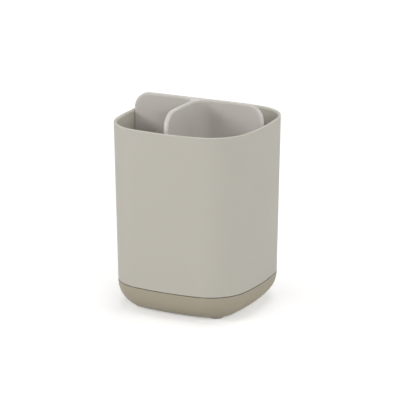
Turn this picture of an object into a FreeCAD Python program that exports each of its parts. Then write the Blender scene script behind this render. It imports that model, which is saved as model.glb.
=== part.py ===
import FreeCAD, Part
import math
import os

# Toothbrush holder: a tapered square sleeve with bowed sides pushes onto a dished base, and a
# T-shaped divider drops in through the rim. Millimetres, +Z up. The origin is on the surface that
# the holder stands on, midway between the sides, and the front looks along -Y.

# Sleeve
rim_width = 90.0               # outside, across the middle of two bowed sides
rim_height = 114.5
rim_corner_radius = 26.0
side_bow_radius = 155.0
sleeve_draft = 1.0             # degrees, narrowing towards the base
sleeve_wall = 2.0
rim_flat = 0.2                 # what is left flat between the two roundings of the rim
rim_outer_rounding = 0.4       # the inner one takes the rest of the wall
sleeve_lead_in = 0.6           # chamfer inside the lower mouth
seam_rounding = 0.2            # on both sides of the seam

# Base
seam_height = 17.1             # the land that the sleeve stands on
seam_reveal = 0.25             # the skirt ends this far below the sleeve, which shows as a fine dark line
seam_reveal_depth = 0.8
base_rounding = 16.5           # the skirt rolls under with this radius
rounding_cut = 1.6             # how much of the full roll the flat underside cuts away
underside_height = 1.5
underside_edge_rounding = 0.4
floor_thickness = 2.4
dish_radius = 10.0             # between the floor and the inside of the spigot
spigot_height = 9.0            # above the seam
spigot_wall = 1.8
spigot_clearance = 0.2
spigot_rounding = 0.6

# Drain slots in the floor
slot_width = 3.0
slot_pitch = 7.0
slot_setback = 5.5             # from the faces of the divider
slot_edge_margin = 9.0         # from the start of the dish

# Keeper ribs that hold the foot of the divider
keeper_height = 3.0
keeper_thickness = 1.4
keeper_length = 8.0
keeper_setback = 6.0           # from the start of the dish
keeper_clearance = 0.3

# Corner feet and their soft pads
foot_radius = 4.8              # where it leaves the underside
foot_taper = 0.7               # how much smaller that radius is at the lower end
foot_edge_distance = 5.0       # from the middle of a foot to the rounded corner of the underside
pad_radius = 3.4
pad_thickness = 1.8
pad_proud = 0.3
pad_clearance = 0.1
pad_rounding = 0.3

# Divider
divider_thickness = 2.7
divider_rise = 11.5            # above the rim
divider_edge_flat = 1.8        # what is left flat between the two roundings of an edge
divider_corner_radius = 10.0
panel_offset = 1.0             # the panel stands this far behind the middle
junction_radius = 9.0
panel_gap = 0.4                # to the side walls of the sleeve
rib_gap = 1.5                  # to the front wall of the sleeve
divider_base_gap = 0.5         # inside the spigot and over its edge
heel_relief = 2.0              # the lower corners are rounder than the dish by this much

# Values that follow from the sizes above
rim_half = rim_width / 2
draft_slope = math.tan(math.radians(sleeve_draft))
bow_centre = side_bow_radius - rim_half
corner_reach = side_bow_radius - rim_corner_radius
corner_centre = (math.sqrt(2 * corner_reach**2 - bow_centre**2) - bow_centre) / 2
side_direction = FreeCAD.Vector(corner_centre + bow_centre, corner_centre, 0) / corner_reach

seam_inset = (rim_height - seam_height) * draft_slope
skirt_top = seam_height - seam_reveal
rounding_bottom = underside_height - rounding_cut
rounding_centre_height = rounding_bottom + base_rounding
underside_angle = math.asin((rounding_centre_height - underside_height) / base_rounding)
underside_inset = seam_inset + base_rounding * (1 - math.cos(underside_angle))
spigot_inset = seam_inset + sleeve_wall + spigot_clearance
spigot_top = seam_height + spigot_height
pocket_inset = spigot_inset + spigot_wall
pocket_half = rim_half - pocket_inset
floor_top = underside_height + floor_thickness
flat_floor_half = pocket_half - dish_radius

foot_diagonal = rim_corner_radius - underside_inset - foot_edge_distance
foot_place = corner_centre + foot_diagonal * math.sqrt(0.5)
foot_root = underside_height + floor_thickness / 2
foot_slope = foot_taper / (underside_height - pad_proud)

divider_top = rim_height + divider_rise
panel_front = panel_offset - divider_thickness / 2
panel_back = panel_offset + divider_thickness / 2
shoulder_height = spigot_top + divider_base_gap
beyond = rim_width             # far enough to pass right through the holder
tolerance = 1e-4               # for picking edges and faces by their place


def bowed_square(inset, height):
    """Closed wire of the square with bowed sides, moved in parallel by inset."""
    corner = rim_corner_radius - inset
    tangent = FreeCAD.Vector(corner_centre, corner_centre, height) + side_direction * corner
    across = corner_centre + corner * math.sqrt(0.5)
    edges = []
    for quarter in range(4):
        turn = FreeCAD.Rotation(FreeCAD.Vector(0, 0, 1), 90 * quarter)
        side_start = turn.multVec(FreeCAD.Vector(tangent.x, -tangent.y, height))
        side_middle = turn.multVec(FreeCAD.Vector(rim_half - inset, 0, height))
        side_end = turn.multVec(tangent)
        corner_middle = turn.multVec(FreeCAD.Vector(across, across, height))
        corner_end = turn.multVec(FreeCAD.Vector(tangent.y, tangent.x, height))
        edges.append(Part.Arc(side_start, side_middle, side_end).toShape())
        edges.append(Part.Arc(side_end, corner_middle, corner_end).toShape())
    return Part.Wire(edges)


def straight_block(inset, low, high):
    """Upright solid of the bowed square between two heights."""
    return Part.Face(bowed_square(inset, low)).extrude(FreeCAD.Vector(0, 0, high - low))


def drafted_block(inset_at_rim, low, high):
    """Solid of the bowed square that keeps the draft of the sleeve."""
    sections = []
    for height in (low, high):
        inset = inset_at_rim + (rim_height - height) * draft_slope
        sections.append(bowed_square(inset, height))
    return Part.makeLoft(sections, True, True)


def level_edges(shape, height):
    """Edges of a shape that lie flat at one height."""
    found = []
    for edge in shape.Edges:
        box = edge.BoundBox
        if abs(box.ZMin - height) < tolerance and abs(box.ZMax - height) < tolerance:
            found.append(edge)
    return found


def inside_wall(edge, height):
    """Whether a level edge of the sleeve lies on the inner side of its wall."""
    middle = edge.valueAt((edge.FirstParameter + edge.LastParameter) / 2)
    inset = (rim_height - height) * draft_slope + sleeve_wall / 2
    wall_middle = Part.Face(bowed_square(inset, height))
    return wall_middle.isInside(middle, tolerance, True)


def outer_sleeve():
    """Tapered tube with a rounded rim, a fine rounding at the seam and a lead-in for the spigot."""
    outer = drafted_block(0.0, seam_height, rim_height)
    inner = drafted_block(sleeve_wall, seam_height - 1, rim_height + 1)
    sleeve = outer.cut(inner)
    rim = [edge for edge in level_edges(sleeve, rim_height) if not inside_wall(edge, rim_height)]
    sleeve = sleeve.makeFillet(rim_outer_rounding, rim)
    rim = [edge for edge in level_edges(sleeve, rim_height) if inside_wall(edge, rim_height)]
    sleeve = sleeve.makeFillet(sleeve_wall - rim_flat - rim_outer_rounding, rim)
    mouth = level_edges(sleeve, seam_height)
    sleeve = sleeve.makeFillet(seam_rounding, [edge for edge in mouth if not inside_wall(edge, seam_height)])
    mouth = level_edges(sleeve, seam_height)
    return sleeve.makeChamfer(sleeve_lead_in, [edge for edge in mouth if inside_wall(edge, seam_height)])


def skirt():
    """Outer form of the base: upright below the seam, rolled under and cut flat underneath.

    The land that carries the sleeve stands up inside the skirt by the reveal.
    """
    block = straight_block(seam_inset, rounding_bottom, seam_height + base_rounding)
    block = block.makeFillet(base_rounding, level_edges(block, rounding_bottom))
    keep = Part.makeBox(2 * beyond, 2 * beyond, skirt_top - underside_height)
    keep.translate(FreeCAD.Vector(-beyond, -beyond, underside_height))
    block = block.common(keep)
    block = block.makeFillet(underside_edge_rounding, level_edges(block, underside_height))
    block = block.makeFillet(seam_rounding, level_edges(block, skirt_top))
    land = straight_block(seam_inset + seam_reveal_depth, skirt_top - seam_rounding, seam_height)
    return block.fuse(land)


def corner_places():
    """Middles of the four feet, with the names of their corners."""
    return {
        "front_left": FreeCAD.Vector(-foot_place, -foot_place, 0),
        "front_right": FreeCAD.Vector(foot_place, -foot_place, 0),
        "rear_left": FreeCAD.Vector(-foot_place, foot_place, 0),
        "rear_right": FreeCAD.Vector(foot_place, foot_place, 0),
    }


def corner_feet():
    """Four low tapered feet inside the rounded corners of the underside."""
    outline = straight_block(underside_inset, pad_proud, foot_root)
    root_radius = foot_radius + (foot_root - underside_height) * foot_slope
    feet = []
    for place in corner_places().values():
        post = Part.makeCone(foot_radius - foot_taper, root_radius, foot_root - pad_proud)
        post.translate(place + FreeCAD.Vector(0, 0, pad_proud))
        feet.append(post.common(outline))
    return feet


def keeper_ribs():
    """Three pairs of low ribs on the floor that stand either side of the divider's foot."""
    distance = flat_floor_half - keeper_setback
    step = divider_thickness / 2 + keeper_clearance
    ribs = []
    for side in (-1, 1):
        for face in (-1, 1):
            rib = Part.makeBox(keeper_length, keeper_thickness, keeper_height)
            low_y = panel_offset + step if face > 0 else panel_offset - step - keeper_thickness
            rib.translate(FreeCAD.Vector(side * distance - keeper_length / 2, low_y, floor_top))
            ribs.append(rib)
    for face in (-1, 1):
        rib = Part.makeBox(keeper_thickness, keeper_length, keeper_height)
        low_x = step if face > 0 else -step - keeper_thickness
        rib.translate(FreeCAD.Vector(low_x, -distance - keeper_length / 2, floor_top))
        ribs.append(rib)
    return ribs


def drain_slot(x, start, end):
    """Cutter for one slot with round ends, running front to back through the floor."""
    radius = slot_width / 2
    low = underside_height - 1
    left, right = x - radius, x + radius
    near, far = start + radius, end - radius
    edges = [
        Part.LineSegment(FreeCAD.Vector(right, near, low), FreeCAD.Vector(right, far, low)).toShape(),
        Part.Arc(FreeCAD.Vector(right, far, low), FreeCAD.Vector(x, end, low),
                 FreeCAD.Vector(left, far, low)).toShape(),
        Part.LineSegment(FreeCAD.Vector(left, far, low), FreeCAD.Vector(left, near, low)).toShape(),
        Part.Arc(FreeCAD.Vector(left, near, low), FreeCAD.Vector(x, start, low),
                 FreeCAD.Vector(right, near, low)).toShape(),
    ]
    return Part.Face(Part.Wire(edges)).extrude(FreeCAD.Vector(0, 0, floor_thickness + 2))


def drain_slots():
    """Rows of slots under the three compartments."""
    reach = flat_floor_half - slot_edge_margin
    columns = int(reach // slot_pitch)
    slots = []
    for column in range(-columns, columns + 1):
        x = column * slot_pitch
        slots.append(drain_slot(x, panel_back + slot_setback, reach))
        if column != 0:
            slots.append(drain_slot(x, -reach, panel_front - slot_setback))
    return slots


def base_tray():
    """Dished base with its spigot, keeper ribs, drain slots and corner feet."""
    spigot = straight_block(spigot_inset, skirt_top - seam_rounding, spigot_top)
    spigot = spigot.makeFillet(spigot_rounding, level_edges(spigot, spigot_top))
    pocket = straight_block(pocket_inset, floor_top, spigot_top + 1)
    pocket = pocket.makeFillet(dish_radius, level_edges(pocket, floor_top))
    base = skirt().fuse(spigot).cut(pocket)
    base = base.fuse(keeper_ribs() + corner_feet())
    recesses = []
    for place in corner_places().values():
        recess = Part.makeCylinder(pad_radius + pad_clearance, pad_thickness + 1)
        recess.translate(place - FreeCAD.Vector(0, 0, 1))
        recesses.append(recess)
    return base.cut(recesses + drain_slots()).removeSplitter()


def foot_pad(place):
    """Soft disc in its recess, standing a little proud of the foot."""
    pad = Part.makeCylinder(pad_radius, pad_thickness)
    pad = pad.makeFillet(pad_rounding, level_edges(pad, 0.0))
    pad.translate(place)
    return pad


def edge_distance(gap, height):
    """How far out an edge of the divider stands that keeps a gap to the wall of the sleeve."""
    return rim_half - sleeve_wall - (rim_height - height) * draft_slope - gap


def blade_profile(gap, base_gap):
    """Upright outline of one wing of the divider, from past its middle out to the wall.

    Its points are (distance, height): round the top corner, down the wall, in over the spigot's
    edge, and round the heel to the floor.
    """
    heel = dish_radius + heel_relief
    radius = divider_corner_radius
    lean = math.radians(sleeve_draft)
    corner_height = divider_top - radius
    corner_distance = edge_distance(gap, corner_height) - radius / math.cos(lean)
    lower = pocket_half - base_gap

    def point(distance, height):
        return FreeCAD.Vector(distance, 0, height)

    def on_corner(angle):
        return point(corner_distance + radius * math.cos(angle), corner_height + radius * math.sin(angle))

    def on_heel(angle):
        return point(lower - heel + heel * math.cos(angle), floor_top + heel + heel * math.sin(angle))

    middle = -panel_back - 1
    corner_end = on_corner(-lean)
    heel_start = on_heel(0.0)
    heel_end = on_heel(-math.pi / 2)
    lines = [
        (point(middle, floor_top), point(middle, divider_top)),
        (point(middle, divider_top), on_corner(math.pi / 2)),
        (corner_end, point(edge_distance(gap, shoulder_height), shoulder_height)),
        (point(edge_distance(gap, shoulder_height), shoulder_height), point(lower, shoulder_height)),
        (point(lower, shoulder_height), heel_start),
        (heel_end, point(middle, floor_top)),
    ]
    edges = [Part.LineSegment(start, end).toShape() for start, end in lines]
    corner_middle = on_corner((math.pi / 2 - lean) / 2)
    edges.append(Part.Arc(on_corner(math.pi / 2), corner_middle, corner_end).toShape())
    edges.append(Part.Arc(heel_start, on_heel(-math.pi / 4), heel_end).toShape())
    return Part.Face(Part.Wire(Part.__sortEdges__(edges)))


def divider_plan():
    """T of the panel and the rib seen from above, with its two junction fillets."""
    half = divider_thickness / 2
    start = half + junction_radius
    inner = half + junction_radius * (1 - math.sqrt(0.5))
    end = rim_half

    def point(x, y):
        return FreeCAD.Vector(x, y, floor_top)

    def line(first, last):
        return Part.LineSegment(point(*first), point(*last)).toShape()

    edges = [line((-end, panel_back), (end, panel_back))]
    for side in (-1, 1):
        edges.append(line((side * end, panel_back), (side * end, panel_front)))
        edges.append(line((side * end, panel_front), (side * start, panel_front)))
        edges.append(Part.Arc(point(side * start, panel_front),
                              point(side * inner, panel_front - inner + half),
                              point(side * half, panel_front - junction_radius)).toShape())
        edges.append(line((side * half, panel_front - junction_radius), (side * half, -end)))
    edges.append(line((-half, -end), (half, -end)))
    return Part.Face(Part.Wire(Part.__sortEdges__(edges)))


def rounded_blade_edges(shape):
    """Edges of the free rim of the divider, above the shoulder, where a broad face ends."""
    found = []
    for edge in shape.Edges:
        faces = [face for face in shape.Faces if any(edge.isSame(other) for other in face.Edges)]
        if edge.BoundBox.ZMin < shoulder_height - tolerance or len(faces) != 2:
            continue
        if sum(is_broad(face) for face in faces) == 1:
            found.append(edge)
    return found


def is_broad(face):
    """Whether a face of the divider is one of the broad upright ones or a junction fillet."""
    return face.BoundBox.ZMin < floor_top + tolerance and face.BoundBox.ZMax > rim_height


def divider():
    """T-shaped divider with rounded free edges, stepped in below to stand inside the base."""
    block = divider_plan().extrude(FreeCAD.Vector(0, 0, divider_top - floor_top))
    wing = blade_profile(panel_gap, divider_base_gap)
    wing = wing.extrude(FreeCAD.Vector(0, 2 * beyond, 0))
    wing.translate(FreeCAD.Vector(0, -beyond, 0))
    panel_limit = wing.fuse(wing.mirror(FreeCAD.Vector(0, 0, 0), FreeCAD.Vector(1, 0, 0)))
    rib = blade_profile(rib_gap, rib_gap)
    rib_limit = rib.extrude(FreeCAD.Vector(0, 2 * beyond, 0))
    rib_limit.translate(FreeCAD.Vector(0, -beyond, 0))
    rib_limit.rotate(FreeCAD.Vector(0, 0, 0), FreeCAD.Vector(0, 0, 1), -90)
    block = block.common(panel_limit).common(rib_limit).removeSplitter()
    radius = (divider_thickness - divider_edge_flat) / 2
    return block.makeFillet(radius, rounded_blade_edges(block))


def whole_solid(shape):
    """The one solid in a shape."""
    solids = shape.Solids
    if len(solids) != 1:
        raise ValueError("a piece came out as %d solids" % len(solids))
    return solids[0]


pieces = {"outer_sleeve": outer_sleeve(), "base_tray": base_tray(), "divider": divider()}
for corner, place in corner_places().items():
    pieces["foot_pad_" + corner] = foot_pad(place)

os.makedirs("parts", exist_ok=True)
for name, shape in pieces.items():
    solid = whole_solid(shape)
    solid.exportStep("parts/" + name + ".step")
    box = solid.optimalBoundingBox()
    sides = (box.XMin, box.XMax, box.YMin, box.YMax, box.ZMin, box.ZMax)
    print(name, solid.isValid(), "volume %.1f" % solid.Volume, "x %.2f %.2f y %.2f %.2f z %.2f %.2f" % sides)
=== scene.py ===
import math

import bmesh
import bpy
from mathutils import Matrix, Vector


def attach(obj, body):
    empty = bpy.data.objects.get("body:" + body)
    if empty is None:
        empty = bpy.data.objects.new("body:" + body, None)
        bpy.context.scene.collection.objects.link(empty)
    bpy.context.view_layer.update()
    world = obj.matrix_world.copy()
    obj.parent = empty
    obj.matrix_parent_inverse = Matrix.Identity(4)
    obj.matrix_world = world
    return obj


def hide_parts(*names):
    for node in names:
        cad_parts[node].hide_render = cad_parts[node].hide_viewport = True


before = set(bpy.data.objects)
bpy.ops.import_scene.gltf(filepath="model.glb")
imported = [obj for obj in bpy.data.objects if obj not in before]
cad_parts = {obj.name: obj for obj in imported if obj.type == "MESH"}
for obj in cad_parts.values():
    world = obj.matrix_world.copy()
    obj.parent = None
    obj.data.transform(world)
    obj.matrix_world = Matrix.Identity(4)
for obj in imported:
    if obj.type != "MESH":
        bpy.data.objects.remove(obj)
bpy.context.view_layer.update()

# Foot pads: four small discs of soft thermoplastic elastomer with two anti-slip grooves in the sole.
# They are moulded, pressed into the recesses of the corner feet, and stand a little proud of them.
pad_radius = 0.0034
pad_thickness = 0.0018
pad_edge_rounding = 0.0003
pad_groove_depth = 0.0002
pad_groove_half_widths = (0.00025, 0.0001)    # at the sole and at the bottom of the groove
pad_groove_radii = (0.0011, 0.0022)
pad_edge_steps = 6
pad_turns = 72
pad_weld = 1e-6    # points nearer than this are one
pad_crease = math.radians(30)
pad_place = 0.024762    # from the middle of the holder, along both sides
pad_bloom_scale = 420.0    # patches per metre, as all scales below
pad_pore_scale = 5200.0
pad_pore_depth = 0.00004
pad_pore_strength = 0.4
pad_roughness = 0.7
pad_bloom_roughness = 0.2
pad_ior = 1.5


class Wire:
    """A socket of a node tree. Sums written with wires add their Math nodes to that tree."""

    def __init__(self, socket):
        self.socket = socket

    def maths(self, operation, *operands):
        """One Math node of the operands, which are wires or numbers."""
        return Wire.node(self.socket.id_data, "ShaderNodeMath", {"operation": operation},
                         dict(enumerate(operands)))

    def __add__(self, other):
        return self.maths("ADD", self, other)

    def __radd__(self, other):
        return self.maths("ADD", other, self)

    def __sub__(self, other):
        return self.maths("SUBTRACT", self, other)

    def __rsub__(self, other):
        return self.maths("SUBTRACT", other, self)

    def __mul__(self, other):
        return self.maths("MULTIPLY", self, other)

    def __rmul__(self, other):
        return self.maths("MULTIPLY", other, self)

    def __truediv__(self, other):
        return self.maths("DIVIDE", self, other)

    def __lt__(self, other):
        return self.maths("LESS_THAN", self, other)

    def __gt__(self, other):
        return self.maths("GREATER_THAN", self, other)

    @staticmethod
    def node(tree, kind, settings=None, sockets=None, output=None):
        """Any other node: its settings, then the values or wires of its sockets, by name or number."""
        made = tree.nodes.new(kind)
        for name, value in (settings or {}).items():
            setattr(made, name, value)
        for key, value in (sockets or {}).items():
            if isinstance(key, int):
                socket = made.inputs[key]
            else:
                socket = next(s for s in made.inputs if s.enabled and s.name == key)
            if isinstance(value, Wire):
                tree.links.new(value.socket, socket)
            else:
                socket.default_value = value
        found = [s for s in made.outputs if s.enabled and output in (None, s.name)]
        return Wire(found[0]) if found else None


def swatch(red, green, blue):
    """Linear colour of a plastics swatch, given as it looks on a display, 0 to 255."""
    linear = []
    for level in (red / 255, green / 255, blue / 255):
        linear.append(level / 12.92 if level <= 0.04045 else ((level + 0.055) / 1.055) ** 2.4)
    return (*linear, 1.0)


def moulding_material(name):
    """New material with an empty node tree."""
    material = bpy.data.materials.new(name)
    material.use_nodes = True
    material.node_tree.nodes.clear()
    return material


def noise(tree, place, scale, detail=2.0, roughness=0.5):
    """Noise from 0 to 1 at a scale given in patches per metre."""
    return Wire.node(tree, "ShaderNodeTexNoise", None,
                     {"Vector": place, "Scale": scale, "Detail": detail, "Roughness": roughness}, "Fac")


def form_tree(name, sizes):
    """Geometry Nodes tree with one input for each named size, and wires from those inputs."""
    tree = bpy.data.node_groups.new(name, "GeometryNodeTree")
    tree.interface.new_socket("Geometry", in_out="INPUT", socket_type="NodeSocketGeometry")
    for size, value in sizes.items():
        kind = "NodeSocketInt" if isinstance(value, int) else "NodeSocketFloat"
        tree.interface.new_socket(size, in_out="INPUT", socket_type=kind)
    tree.interface.new_socket("Geometry", in_out="OUTPUT", socket_type="NodeSocketGeometry")
    entry = tree.nodes.new("NodeGroupInput")
    return tree, {socket.name: Wire(socket) for socket in entry.outputs if socket.name}


def formed_piece(name, start, tree, sizes, material, weigh_normals=False):
    """Object whose mesh is what the tree makes of a starting mesh at these sizes."""
    piece = bpy.data.objects.new(name, start)
    bpy.context.scene.collection.objects.link(piece)
    form = piece.modifiers.new("form", "NODES")
    form.node_group = tree
    for item in tree.interface.items_tree:
        if item.in_out == "INPUT" and item.name in sizes:
            form[item.identifier] = sizes[item.name]
    if weigh_normals:
        piece.modifiers.new("even_walls", "WEIGHTED_NORMAL").keep_sharp = True
    view = bpy.context.evaluated_depsgraph_get()
    mesh = bpy.data.meshes.new_from_object(piece.evaluated_get(view), preserve_all_data_layers=True,
                                           depsgraph=view)
    piece.modifiers.clear()
    piece.data = mesh
    mesh.materials.clear()
    mesh.materials.append(material)
    return piece


def pad_section():
    """Half section of a pad as (radius, height) from the middle of its sole to the middle of its top."""
    points = [(0.0, 0.0)]
    for middle in pad_groove_radii:
        wide, narrow = pad_groove_half_widths
        points += [(middle - wide, 0.0), (middle - narrow, pad_groove_depth),
                   (middle + narrow, pad_groove_depth), (middle + wide, 0.0)]
    for step in range(pad_edge_steps + 1):
        angle = math.radians(-90 + 90 * step / pad_edge_steps)
        points.append((pad_radius - pad_edge_rounding * (1 - math.cos(angle)),
                       pad_edge_rounding * (1 + math.sin(angle))))
    return points + [(pad_radius, pad_thickness), (0.0, pad_thickness)]


turned = bmesh.new()
corners = [turned.verts.new((radius, 0.0, height)) for radius, height in pad_section()]
edges = [turned.edges.new(pair) for pair in zip(corners, corners[1:])]
bmesh.ops.spin(turned, geom=corners + edges, axis=(0, 0, 1), cent=(0, 0, 0),
               angle=2 * math.pi, steps=pad_turns)
bmesh.ops.remove_doubles(turned, verts=turned.verts, dist=pad_weld)
bmesh.ops.recalc_face_normals(turned, faces=turned.faces)
pad_mesh = bpy.data.meshes.new("pad")
turned.to_mesh(pad_mesh)
turned.free()
pad_mesh.polygons.foreach_set("use_smooth", [True] * len(pad_mesh.polygons))
pad_mesh.set_sharp_from_angle(angle=pad_crease)

pad_rubber = moulding_material("pad_rubber")
tree = pad_rubber.node_tree
place = Wire.node(tree, "ShaderNodeTexCoord", output="Object")
bloom = noise(tree, place, pad_bloom_scale, 3.0)
pores = noise(tree, place, pad_pore_scale)
rubber_colour = Wire.node(tree, "ShaderNodeMix", {"data_type": "RGBA"},
                          {"Factor": bloom, "A": swatch(108, 101, 90), "B": swatch(122, 115, 103)})
rubber_bump = Wire.node(tree, "ShaderNodeBump", None,
                        {"Strength": pad_pore_strength, "Distance": pad_pore_depth, "Height": pores})
rubber = Wire.node(tree, "ShaderNodeBsdfPrincipled", None,
                   {"Base Color": rubber_colour, "Normal": rubber_bump, "IOR": pad_ior,
                    "Roughness": pad_roughness + bloom * pad_bloom_roughness})
Wire.node(tree, "ShaderNodeOutputMaterial", None, {"Surface": rubber})

pad_sizes = {"Pad Spacing": 2 * pad_place}
tree, entry = form_tree("pads_at_the_corners", pad_sizes)
spots = Wire.node(tree, "GeometryNodeMeshGrid", None,
                  {"Size X": entry["Pad Spacing"], "Size Y": entry["Pad Spacing"],
                   "Vertices X": 2, "Vertices Y": 2})
pads = Wire.node(tree, "GeometryNodeInstanceOnPoints", None,
                 {"Points": spots, "Instance": entry["Geometry"]})
pads = Wire.node(tree, "GeometryNodeRealizeInstances", None, {"Geometry": pads})
pads = Wire.node(tree, "GeometryNodeSetMaterial", None, {"Geometry": pads, "Material": pad_rubber})
Wire.node(tree, "NodeGroupOutput", None, {"Geometry": pads})
foot_pads = formed_piece("foot_pads", pad_mesh, tree, pad_sizes, pad_rubber)
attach(foot_pads, "base")
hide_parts("foot_pad_front_left", "foot_pad_front_right",
            "foot_pad_rear_left", "foot_pad_rear_right")

# Base: one injection moulding in taupe polypropylene, a dish with a rolled-under skirt, drain slots and
# a spigot that the sleeve is pushed onto. The tool is spark-eroded, which leaves a fine even grain.
# The third base colour is painted shade: a darker band along the seam, where the sleeve meets the base.
base_colours = swatch(175, 167, 149), swatch(171, 163, 144), swatch(122, 114, 97)
base_seam = 0.01697    # height of the seam, darkened there as painted shade of the gap between sleeve and base
base_seam_reach = 0.0006
base_roughness = 0.62
base_grain_scale = 2400.0
base_grain_depth = 0.00003
cloud_scale = 34.0    # of the pigment
cloud_share = 0.7    # in the change of colour, and the rest is the grain's
pit_scale = 0.55    # times that of the grain
grain_share = 0.6    # in the relief, and the rest is that of the pits
grain_strength = 0.5
draw_scale = 900.0    # of the faint marks that the tool leaves as the moulding is drawn off it
draw_squash = (1.0, 1.0, 0.02)    # they run upwards
cloud_sheen, grain_sheen, draw_sheen = 0.14, 0.1, 0.08    # how much each changes the roughness
edge_patch_scale = 240.0
edge_patch_levels = (0.35, 0.6)    # noise at which an edge shows least and most of its wear and painted light
edge_patch_least = 0.7
edge_mark_core = 0.3    # share of an edge's reach with its full wear and painted light
wear_polish = 0.14    # taken off the roughness where an edge is worn
wear_smoothing = 0.6    # share of the relief that wear takes away
edge_samples = 6
plastic_ior = 1.48
plastic_specular = 0.4


def fade(tree, value, start, end):
    """0 up to the start, 1 past the end, and a smooth change between them."""
    return Wire.node(tree, "ShaderNodeMapRange", {"interpolation_type": "SMOOTHSTEP"},
                     {"Value": value, "From Min": start, "From Max": end})


def edge_wear_and_light(tree, place, height, reach, axis=None, half_width=0.0, rounding=0.0):
    """1 at a level edge and 0 past its reach. Along an axis, the edge turns down over rounded ends."""
    up = Wire.node(tree, "ShaderNodeSeparateXYZ", None, {"Vector": place}, "Z") - (height - rounding)
    if axis:
        along = Wire.node(tree, "ShaderNodeSeparateXYZ", None, {"Vector": place}, axis)
        out = along.maths("ABSOLUTE", along) - (half_width - rounding)
        up, out = up.maths("MAXIMUM", up, 0.0), out.maths("MAXIMUM", out, 0.0)
        reached = up * up + out * out
        up = reached.maths("SQRT", reached) - rounding
    return fade(tree, up.maths("ABSOLUTE", up), reach, reach * edge_mark_core)


def eroded_finish(name, colours, roughness, grain_scale, grain_depth, edges, softened=0.0):
    """Matt moulded plastic: cloudy pigment, spark-eroded grain, faint draw marks, edges that show use
    and painted light.

    The colours are two shades of the pigment and that of its edges, which is painted light: a painted
    highlight on light edges and painted shade on dark ones, over real wear in the roughness. Each edge
    holds what edge_wear_and_light asks for. Softened edges catch the light over that distance.
    """
    material = moulding_material(name)
    tree = material.node_tree
    place = Wire.node(tree, "ShaderNodeTexCoord", output="Object")
    cloud = noise(tree, place, cloud_scale, 3.0, 0.55)
    grain = noise(tree, place, grain_scale, 2.5, 0.6)
    pits = Wire.node(tree, "ShaderNodeTexVoronoi", {"feature": "SMOOTH_F1"},
                     {"Vector": place, "Scale": grain_scale * pit_scale, "Smoothness": 0.6}, "Distance")
    drawn = Wire.node(tree, "ShaderNodeMapping", None, {"Vector": place, "Scale": draw_squash})
    streaks = noise(tree, drawn, draw_scale, 2.0)

    # Edge mask: it sets real wear in the roughness and relief, and the painted light of the edge colour.
    wear_and_painted_light = None
    for edge in edges:
        mask = edge_wear_and_light(tree, place, *edge)
        wear_and_painted_light = mask if wear_and_painted_light is None else wear_and_painted_light.maths("MAXIMUM", wear_and_painted_light, mask)
    patches = fade(tree, noise(tree, place, edge_patch_scale, 3.0), *edge_patch_levels)
    wear_and_painted_light = wear_and_painted_light * (edge_patch_least + (1 - edge_patch_least) * patches)

    colour = Wire.node(tree, "ShaderNodeMix", {"data_type": "RGBA"},
                       {"Factor": cloud * cloud_share + grain * (1 - cloud_share),
                        "A": colours[0], "B": colours[1]})
    # Edge colour: a painted highlight on the sleeve's rim and the divider's top edges, and painted shade
    # along the base's seam.
    colour = Wire.node(tree, "ShaderNodeMix", {"data_type": "RGBA"},
                       {"Factor": wear_and_painted_light, "A": colour, "B": colours[2]})
    sheen = (cloud - 0.5) * cloud_sheen + (grain - 0.5) * grain_sheen + (streaks - 0.5) * draw_sheen
    relief = {"Strength": grain_strength, "Distance": grain_depth,
              "Height": (grain * grain_share + pits * (1 - grain_share)) * (1 - wear_and_painted_light * wear_smoothing)}
    if softened:
        relief["Normal"] = Wire.node(tree, "ShaderNodeBevel", {"samples": edge_samples},
                                     {"Radius": softened})
    bump = Wire.node(tree, "ShaderNodeBump", None, relief)
    plastic = Wire.node(tree, "ShaderNodeBsdfPrincipled", None,
                        {"Base Color": colour, "Roughness": roughness + sheen - wear_and_painted_light * wear_polish,
                         "Normal": bump, "IOR": plastic_ior, "Specular IOR Level": plastic_specular})
    Wire.node(tree, "ShaderNodeOutputMaterial", None, {"Surface": plastic})
    return material


base_edges = ((base_seam, base_seam_reach),)
base_plastic = eroded_finish("base_plastic", base_colours, base_roughness, base_grain_scale,
                             base_grain_depth, base_edges)
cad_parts["base_tray"].data.materials[0] = base_plastic

# Sleeve: one injection moulding in pale warm grey polypropylene, a square tube with bowed sides, drawn
# off a tapered core. It is pushed over the spigot until it stands on the land inside the base's skirt.
rim_half = 0.045
rim_height = 0.1145
rim_outer_rounding = 0.0004
rim_inner_rounding = 0.0014
corner_radius = 0.026
bow_radius = 0.155
draft_slope = math.tan(math.radians(1.0))
wall = 0.002
seam_height = 0.0171
seam_rounding = 0.0002
lead_in = 0.0006
side_steps = 24
corner_steps = 28
rounding_steps = 9
# The third sleeve colour is a painted highlight: a lighter band along the rim's edge, where hands also
# polish the roughness down.
sleeve_colours = swatch(198, 194, 184), swatch(195, 191, 180), swatch(206, 202, 193)
sleeve_roughness = 0.6
sleeve_grain_scale = 2400.0
sleeve_grain_depth = 0.00003
rim_wear_and_highlight_reach = 0.0008
sleeve_edges = ((rim_height, rim_wear_and_highlight_reach),)

bow_centre = bow_radius - rim_half
corner_reach = bow_radius - corner_radius
corner_centre = (math.sqrt(2 * corner_reach**2 - bow_centre**2) - bow_centre) / 2
side_angle = math.atan2(corner_centre, corner_centre + bow_centre)

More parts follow.
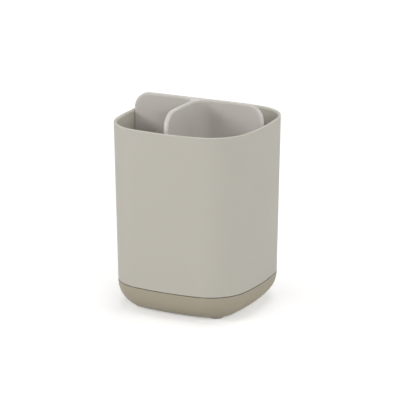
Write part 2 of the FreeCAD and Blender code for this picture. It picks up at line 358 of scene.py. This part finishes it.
sleeve_sizes = {
    "Bow Radius": bow_radius,
    "Bow Centre": bow_centre,
    "Corner Radius": corner_radius,
    "Corner Centre": corner_centre,
    "Side Angle": side_angle,
    "Side Steps": side_steps,
    "Corner Steps": corner_steps,
    "Wall": wall,
    "Draft Slope": draft_slope,
    "Seam Height": seam_height,
    "Rim Height": rim_height,
    "Rim Outer Rounding": rim_outer_rounding,
    "Rim Inner Rounding": rim_inner_rounding,
    "Seam Rounding": seam_rounding,
    "Lead In": lead_in,
    "Rounding Steps": rounding_steps,
}
sleeve_plastic = eroded_finish("sleeve_plastic", sleeve_colours, sleeve_roughness, sleeve_grain_scale,
                               sleeve_grain_depth, sleeve_edges)
tree, size = form_tree("bowed_square_wall", sleeve_sizes)

# The outline: each quarter is a shallow side arc and then a corner arc.
quarter_steps = size["Side Steps"] + size["Corner Steps"]
index = Wire.node(tree, "GeometryNodeInputIndex")
quarter = index.maths("FLOOR", index / quarter_steps)
step = index - quarter * quarter_steps
on_side = step < size["Side Steps"]
on_corner = 1 - on_side
along_side = size["Side Angle"] * (2 * step / size["Side Steps"] - 1)
along_corner = size["Side Angle"] + (math.pi / 2 - 2 * size["Side Angle"]) * (
    (step - size["Side Steps"]) / size["Corner Steps"])
angle = on_side * along_side + on_corner * along_corner
radius = on_side * size["Bow Radius"] + on_corner * size["Corner Radius"]
centre_y = on_corner * size["Corner Centre"]
centre_x = centre_y - on_side * size["Bow Centre"]
point = Wire.node(tree, "ShaderNodeCombineXYZ", None,
                  {"X": centre_x + radius * angle.maths("COSINE", angle),
                   "Y": centre_y + radius * angle.maths("SINE", angle)})
point = Wire.node(tree, "ShaderNodeVectorRotate", {"rotation_type": "Z_AXIS"},
                  {"Vector": point, "Angle": quarter * (math.pi / 2)})
ring = Wire.node(tree, "GeometryNodeCurvePrimitiveCircle", {"mode": "RADIUS"},
                 {"Resolution": 4 * quarter_steps})
ring = Wire.node(tree, "GeometryNodeSetPosition", None, {"Geometry": ring, "Position": point})
ring = Wire.node(tree, "GeometryNodeSetCurveNormal", {"mode": "Z_UP"}, {"Curve": ring})

# The section of the wall: outwards from the outline, and down, as a sweep on a level ring takes it.
seam_inset = (size["Rim Height"] - size["Seam Height"]) * size["Draft Slope"]
section_corners = ((-1 * seam_inset, size["Seam Height"]),
                   (-1 * (size["Wall"] + seam_inset), size["Seam Height"]),
                   (-1 * size["Wall"], size["Rim Height"]),
                   (0.0, size["Rim Height"]))
section = {}
for number, (outwards, up) in enumerate(section_corners, 1):
    section["Point %d" % number] = Wire.node(tree, "ShaderNodeCombineXYZ", None,
                                             {"X": outwards, "Y": -1 * up})
section = Wire.node(tree, "GeometryNodeCurvePrimitiveQuadrilateral", {"mode": "POINTS"}, section)

# Its corners are counted from 0: the seam, the lead-in, the rim inside and the rim outside.
corner = Wire.node(tree, "GeometryNodeInputIndex")
at_seam = corner < 0.5
at_rim = corner > 1.5
at_outer_rim = corner > 2.5
rounding = (at_seam * size["Seam Rounding"] + (1 - at_seam - at_rim) * size["Lead In"]
            + (at_rim - at_outer_rim) * size["Rim Inner Rounding"]
            + at_outer_rim * size["Rim Outer Rounding"])
section = Wire.node(tree, "GeometryNodeFilletCurve", {"mode": "POLY"},
                    {"Curve": section, "Count": size["Rounding Steps"], "Radius": rounding,
                     "Limit Radius": True})
sweep = Wire.node(tree, "GeometryNodeCurveToMesh", None, {"Curve": ring, "Profile Curve": section})
sweep = Wire.node(tree, "GeometryNodeSetShadeSmooth", None, {"Geometry": sweep})
sweep = Wire.node(tree, "GeometryNodeRealizeInstances", None, {"Geometry": sweep})
sweep = Wire.node(tree, "GeometryNodeSetMaterial", None, {"Geometry": sweep, "Material": sleeve_plastic})
Wire.node(tree, "NodeGroupOutput", None, {"Geometry": sweep})
sleeve = formed_piece("sleeve", bpy.data.meshes.new("sleeve"), tree, sleeve_sizes, sleeve_plastic, True)
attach(sleeve, "sleeve")
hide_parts("outer_sleeve")

# Divider: a T-shaped polypropylene moulding in a slightly cooler grey with a satin finish. It drops in
# through the rim, and its foot stands between the keeper ribs on the floor of the base.
# The third divider colour is a painted highlight: a lighter band along the top edges and rounded ends,
# which also get a little polish in the roughness.
divider_colours = swatch(207, 202, 196), swatch(204, 199, 192), swatch(217, 212, 206)
divider_top = 0.126
divider_corner = 0.010
divider_wing = 0.0426    # from the middle to the end of each wing, at the rim
divider_rib = 0.0415    # from the middle to the front of the rib, at the rim
divider_edge_reach = 0.0018
divider_edge_softening = 0.002
divider_roughness = 0.46
divider_grain_scale = 3200.0
divider_grain_depth = 0.00002
divider_edges = ((divider_top, divider_edge_reach, "X", divider_wing, divider_corner),
                 (divider_top, divider_edge_reach, "Y", divider_rib, divider_corner))
divider_plastic = eroded_finish("divider_plastic", divider_colours, divider_roughness,
                                divider_grain_scale, divider_grain_depth, divider_edges,
                                divider_edge_softening)
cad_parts["divider"].data.materials[0] = divider_plastic

# Floor: a seamless sheet of white studio paper that takes the soft shadow of the holder.
# The camera and mirror-like surfaces see it a little brighter than the light that it throws back.
floor_half = 12.0
floor_glow = 0.34
floor_grey = (0.8, 0.8, 0.8, 1.0)
floor_white = (0.96, 0.96, 0.96, 1.0)
white_light = (1.0, 1.0, 1.0, 1.0)


def shown_rays(tree):
    """1 for rays that show the background: straight from the camera, mirrored, or through glass."""
    kinds = [Wire.node(tree, "ShaderNodeLightPath", output=kind)
             for kind in ("Is Camera Ray", "Is Glossy Ray", "Is Transmission Ray")]
    return kinds[0].maths("MAXIMUM", kinds[0], kinds[1].maths("MAXIMUM", kinds[1], kinds[2]))


floor_mesh = bpy.data.meshes.new("studio_paper")
corners = [(x * floor_half, y * floor_half, 0.0) for x, y in ((-1, -1), (1, -1), (1, 1), (-1, 1))]
floor_mesh.from_pydata(corners, [], [(0, 1, 2, 3)])
studio_paper = moulding_material("studio_paper")
tree = studio_paper.node_tree
shown = shown_rays(tree)
paper_colour = Wire.node(tree, "ShaderNodeMix", {"data_type": "RGBA"},
                         {"Factor": shown, "A": floor_grey, "B": floor_white})
matt = Wire.node(tree, "ShaderNodeBsdfDiffuse", None, {"Color": paper_colour})
glow = Wire.node(tree, "ShaderNodeEmission", None,
                 {"Color": white_light, "Strength": shown * floor_glow})
paper = Wire.node(tree, "ShaderNodeAddShader", None, {0: matt, 1: glow})
Wire.node(tree, "ShaderNodeOutputMaterial", None, {"Surface": paper})
floor_mesh.materials.append(studio_paper)
floor = bpy.data.objects.new("studio_paper", floor_mesh)
bpy.context.scene.collection.objects.link(floor)

# Light: softboxes all round and overhead, the front ones low and wide, and a faint white dome as fill.
# The camera and mirror-like surfaces see the dome as plain white.
dome_fill = 0.08
world = bpy.data.worlds.new("studio_dome")
bpy.context.scene.world = world
world.use_nodes = True
tree = world.node_tree
tree.nodes.clear()
sky = Wire.node(tree, "ShaderNodeBackground", None,
                {"Color": white_light, "Strength": dome_fill + shown_rays(tree) * (1.0 - dome_fill)})
Wire.node(tree, "ShaderNodeOutputWorld", None, {"Surface": sky})

softbox_distance = 4.0
softbox_aim = Vector((0.0, 0.0, rim_height / 2))
softboxes = {    # azimuth and elevation in degrees, width and height in metres, watts
    "softbox_left": (-90.0, 38.0, 2.3, 2.3, 15.0),
    "softbox_front_left": (-45.0, 22.0, 2.3, 1.0, 51.0),
    "softbox_front": (-15.0, 22.0, 2.3, 1.0, 20.0),
    "softbox_front_right": (45.0, 22.0, 2.3, 1.0, 40.0),
    "softbox_right": (90.0, 30.0, 2.3, 1.8, 33.0),
    "softbox_back_right": (135.0, 30.0, 2.3, 1.8, 17.0),
    "softbox_back": (180.0, 62.0, 2.3, 2.3, 28.0),
    "softbox_overhead": (0.0, 90.0, 2.3, 2.3, 24.0),
}
for name, (azimuth, elevation, width, height, watts) in softboxes.items():
    lamp = bpy.data.lights.new(name, "AREA")
    lamp.shape = "ELLIPSE"
    lamp.size = width
    lamp.size_y = height
    lamp.energy = watts
    turn, rise = math.radians(azimuth), math.radians(elevation)
    way = Vector((math.sin(turn) * math.cos(rise), -math.cos(turn) * math.cos(rise), math.sin(rise)))
    softbox = bpy.data.objects.new(name, lamp)
    softbox.location = softbox_aim + way * softbox_distance
    softbox.rotation_euler = way.to_track_quat("Z", "Y").to_euler()
    bpy.context.scene.collection.objects.link(softbox)

# Camera: a long lens from the front right and a little above, as a catalogue picture is taken.
# Its place and focal length are those that were worked out for the photo.
camera_azimuth = math.radians(26.622)
camera_elevation = math.radians(16.360)
camera_distance = 1.37063
camera_aim = Vector((0.0, 0.0, 0.059063))
camera_aside = 0.006087    # to the right of the line to the aim, and below it
camera_lower = 0.000957
focal_pixels = 2272.5    # focal length in pixels of a picture this wide
picture_pixels = 416
sensor_width = 36.0
right = Vector((math.cos(camera_azimuth), math.sin(camera_azimuth), 0.0))
back = Vector((math.sin(camera_azimuth) * math.cos(camera_elevation),
               -math.cos(camera_azimuth) * math.cos(camera_elevation), math.sin(camera_elevation)))
up = back.cross(right)
camera = bpy.data.objects.new("camera", bpy.data.cameras.new("camera"))
camera.data.sensor_width = sensor_width
camera.data.lens = focal_pixels * sensor_width / picture_pixels
camera.location = camera_aim + right * camera_aside - up * camera_lower + back * camera_distance
camera.rotation_euler = Matrix((right, up, back)).transposed().to_euler()
bpy.context.scene.collection.objects.link(camera)
bpy.context.scene.camera = camera
bpy.context.scene.view_settings.view_transform = "Standard"
